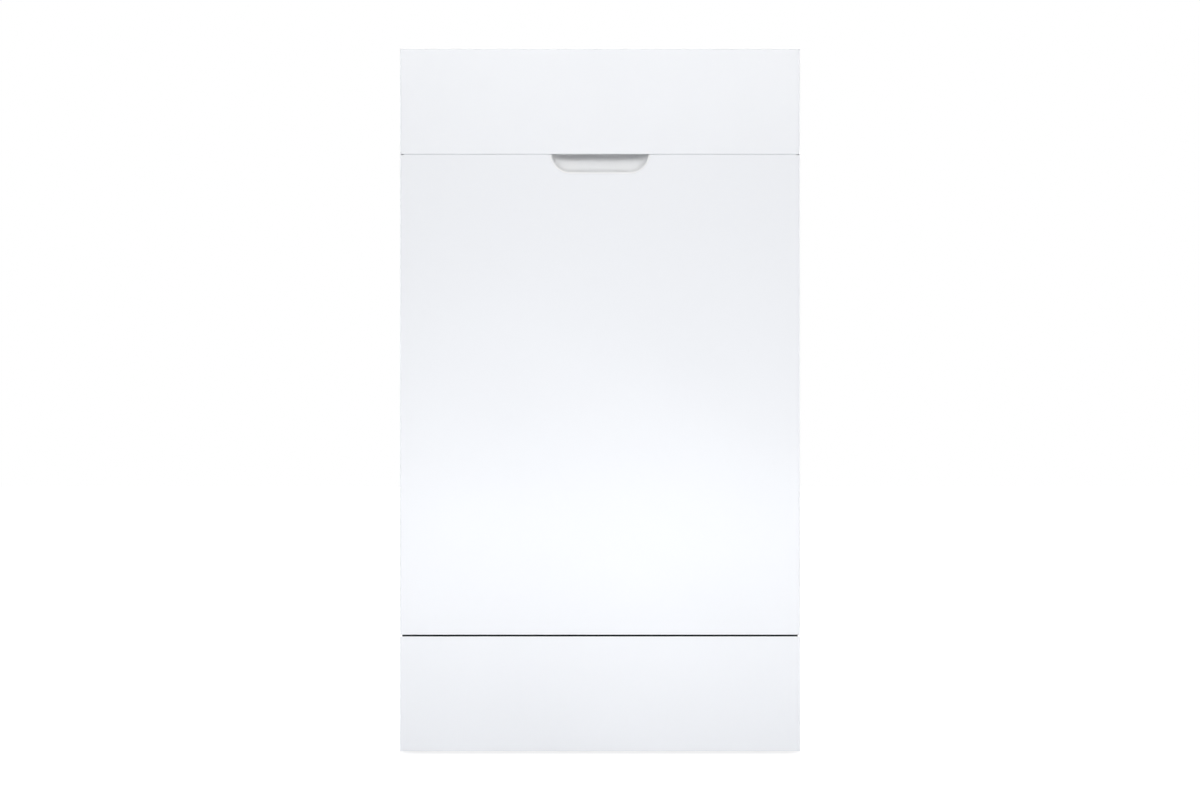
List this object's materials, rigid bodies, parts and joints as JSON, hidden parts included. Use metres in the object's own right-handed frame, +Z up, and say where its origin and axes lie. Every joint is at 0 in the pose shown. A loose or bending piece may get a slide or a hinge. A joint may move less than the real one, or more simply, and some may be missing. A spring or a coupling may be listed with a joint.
{
  "type": "dishwasher",
  "caption": "Slim freestanding dishwasher: plain front door with recessed finger pocket, hidden top controls, tub, racks, spray arms and kick plate.",
  "frame": {"origin": "centre of the footprint on the floor, under the feet", "axes": "+X to the right of a person facing the door; +Y from the door to the back; +Z up"},
  "size_m": [0.448, 0.6, 0.79],
  "materials": {
    "white_paint": "smooth satin white powder paint on sheet steel",
    "side_paint": "satin white powder paint on sheet steel",
    "top_paint": "satin white powder paint on sheet steel",
    "galvanised": "dull zinc-coated sheet",
    "stainless": "fine brushed stainless sheet",
    "zinc_steel": "zinc-plated pressed steel",
    "spring_steel": "oiled spring steel",
    "grey_rubber": "soft matt grey rubber",
    "base_plastic": "filled black moulded plastic, fine grain",
    "dark_plastic": "black moulded plastic",
    "grey_plastic": "grey moulded plastic, hot-water resistant",
    "pale_plastic": "pale grey moulded plastic",
    "white_plastic": "white moulded plastic, soft gloss",
    "strip_plastic": "dark grained plastic strip",
    "key_plastic": "light grey key caps",
    "display_plastic": "clear gloss window over a dark display",
    "board": "green circuit board",
    "coated_wire": "steel wire with soft grey coating"
  },
  "bodies": {
    "cabinet": {"base_tray": "base_plastic", "side_panel_left": "side_paint", "side_panel_right": "side_paint", "top_cover": "top_paint", "back_panel": "galvanised", "tub_wrap": "stainless", "tub_back_wall": "stainless", "tub_floor": "stainless", "door_gasket": "grey_rubber", "sill_seal": "grey_rubber", "kick_plate": "white_paint", "cabinet_screws": "zinc_steel", "sump": "grey_plastic", "circulation_pump": "dark_plastic", "drain_pump": "dark_plastic", "water_softener": "pale_plastic", "water_chamber": "pale_plastic", "inlet_valve": "pale_plastic", "drain_connector": "grey_plastic", "mains_inlet": "dark_plastic", "riser_tube": "grey_plastic", "hinge_brackets": "zinc_steel", "latch_striker": "zinc_steel", "upper_rack_guides": "stainless", "fine_filter": "stainless"},
    "door": {"door_outer_panel": "white_paint", "fascia": "white_plastic", "handle_pocket": "white_plastic", "door_inner_panel": "stainless", "control_strip": "strip_plastic", "display_window": "display_plastic", "control_board": "board", "dispenser_housing": "pale_plastic", "latch_body": "dark_plastic", "hinge_arms": "zinc_steel", "door_springs": "spring_steel"},
    "upper_runners": {"upper_rack_runners": "stainless"},
    "upper_rack": {"upper_rack_basket": "coated_wire"},
    "lower_rack": {"lower_rack_basket": "coated_wire"},
    "filter_cylinder": {"filter_cylinder": "grey_plastic"},
    "salt_cap": {"salt_cap": "pale_plastic"},
    "leak_float": {"leak_float": "pale_plastic"},
    "lower_spray_arm": {"lower_spray_arm": "grey_plastic"},
    "front_foot_left": {"front_foot_left": "dark_plastic"},
    "front_foot_right": {"front_foot_right": "dark_plastic"},
    "rear_feet": {"rear_feet": "dark_plastic"},
    "pump_impeller": {"pump_impeller": "pale_plastic"},
    "dispenser_lid": {"dispenser_lid": "grey_plastic"},
    "rinse_aid_cap": {"rinse_aid_cap": "grey_plastic"},
    "latch_hook": {"latch_hook": "zinc_steel"},
    "power_button": {"power_button": "key_plastic"},
    "program_button": {"program_button": "key_plastic"},
    "half_load_button": {"half_load_button": "key_plastic"},
    "start_button": {"start_button": "key_plastic"},
    "upper_spray_arm": {"upper_spray_arm": "grey_plastic"},
    "cup_shelf": {"cup_shelf": "coated_wire"},
    "plate_tines": {"plate_tines": "coated_wire"},
    "cutlery_basket": {"cutlery_basket": "grey_plastic"},
    "front_rack_wheels": {"front_rack_wheels": "grey_plastic"},
    "rear_rack_wheels": {"rear_rack_wheels": "grey_plastic"}
  },
  "joints": [
    {"name": "door_hinge", "type": "hinge", "parent": "cabinet", "child": "door", "pos_m": [0, -0.28, 0.1536], "axis": [1, 0, 0], "range_deg": [0, 90], "stiffness_Nm_per_rad": 8},
    {"name": "upper_runner_slide", "type": "slide", "parent": "cabinet", "child": "upper_runners", "axis": [0, -1, 0], "range_m": [0, 0.15]},
    {"name": "upper_rack_slide", "type": "slide", "parent": "upper_runners", "child": "upper_rack", "axis": [0, -1, 0], "range_m": [0, 0.15]},
    {"name": "lower_rack_slide", "type": "slide", "parent": "cabinet", "child": "lower_rack", "axis": [0, -1, 0], "range_m": [0, 0.12]},
    {"name": "front_wheels_roll", "type": "hinge", "parent": "lower_rack", "child": "front_rack_wheels", "pos_m": [0, -0.15, 0.1953], "axis": [1, 0, 0], "range_deg": [0, 430]},
    {"name": "rear_wheels_roll", "type": "hinge", "parent": "lower_rack", "child": "rear_rack_wheels", "pos_m": [0, 0.17, 0.1953], "axis": [1, 0, 0], "range_deg": [0, 430]},
    {"name": "upper_arm_spin", "type": "hinge", "parent": "upper_rack", "child": "upper_spray_arm", "pos_m": [0, 0.01, 0.4917], "axis": [0, 0, 1], "continuous": true},
    {"name": "lower_arm_spin", "type": "hinge", "parent": "cabinet", "child": "lower_spray_arm", "pos_m": [0, 0.01, 0.1883], "axis": [0, 0, 1], "continuous": true},
    {"name": "cup_shelf_fold", "type": "hinge", "parent": "upper_rack", "child": "cup_shelf", "pos_m": [-0.158, 0, 0.586], "axis": [0, -1, 0], "range_deg": [0, 90]},
    {"name": "plate_tines_fold", "type": "hinge", "parent": "lower_rack", "child": "plate_tines", "pos_m": [-0.06, 0, 0.21512], "axis": [0, -1, 0], "range_deg": [0, 90]},
    {"name": "cutlery_lift", "type": "slide", "parent": "lower_rack", "child": "cutlery_basket", "axis": [0, 0, 1], "range_m": [0, 0.07]},
    {"name": "filter_twist", "type": "hinge", "parent": "cabinet", "child": "filter_cylinder", "pos_m": [0.0325, -0.0225, 0.12], "axis": [0, 0, 1], "range_deg": [0, 90]},
    {"name": "salt_cap_twist", "type": "hinge", "parent": "cabinet", "child": "salt_cap", "pos_m": [-0.112, -0.17, 0.166], "axis": [0, 0, 1], "range_deg": [0, 120]},
    {"name": "float_lift", "type": "slide", "parent": "cabinet", "child": "leak_float", "axis": [0, 0, 1], "range_m": [0, 0.008]},
    {"name": "front_foot_left_adjust", "type": "slide", "parent": "cabinet", "child": "front_foot_left", "axis": [0, 0, -1], "range_m": [0, 0.02]},
    {"name": "front_foot_right_adjust", "type": "slide", "parent": "cabinet", "child": "front_foot_right", "axis": [0, 0, -1], "range_m": [0, 0.02]},
    {"name": "rear_feet_adjust", "type": "slide", "parent": "cabinet", "child": "rear_feet", "axis": [0, 0, -1], "range_m": [0, 0.02]},
    {"name": "impeller_spin", "type": "hinge", "parent": "cabinet", "child": "pump_impeller", "pos_m": [0.04, 0.13, 0.07], "axis": [0, 1, 0], "continuous": true},
    {"name": "dispenser_lid_slide", "type": "slide", "parent": "door", "child": "dispenser_lid", "axis": [0, 0, -1], "range_m": [0, 0.072]},
    {"name": "rinse_cap_turn", "type": "hinge", "parent": "door", "child": "rinse_aid_cap", "pos_m": [0.04, -0.246, 0.505], "axis": [0, 1, 0], "range_deg": [0, 90]},
    {"name": "latch_hook_swing", "type": "hinge", "parent": "door", "child": "latch_hook", "pos_m": [0, -0.286, 0.7795], "axis": [1, 0, 0], "range_deg": [0, 8], "stiffness_Nm_per_rad": 0.05},
    {"name": "power_button_press", "type": "slide", "parent": "door", "child": "power_button", "axis": [0, 0, -1], "range_m": [0, 0.0008], "stiffness_N_per_m": 300, "springref_m": -0.001},
    {"name": "program_button_press", "type": "slide", "parent": "door", "child": "program_button", "axis": [0, 0, -1], "range_m": [0, 0.0008], "stiffness_N_per_m": 300, "springref_m": -0.001},
    {"name": "half_load_button_press", "type": "slide", "parent": "door", "child": "half_load_button", "axis": [0, 0, -1], "range_m": [0, 0.0008], "stiffness_N_per_m": 300, "springref_m": -0.001},
    {"name": "start_button_press", "type": "slide", "parent": "door", "child": "start_button", "axis": [0, 0, -1], "range_m": [0, 0.0008], "stiffness_N_per_m": 300, "springref_m": -0.001}
  ],
  "couplings": [
    {"joint": "upper_runner_slide", "follows": "door_hinge", "m_per_rad": 0.0954},
    {"joint": "upper_rack_slide", "follows": "door_hinge", "m_per_rad": 0.0954},
    {"joint": "lower_rack_slide", "follows": "door_hinge", "m_per_rad": 0.0763},
    {"joint": "front_wheels_roll", "follows": "door_hinge", "ratio": 4.7687},
    {"joint": "rear_wheels_roll", "follows": "door_hinge", "ratio": 4.7687}
  ]
}
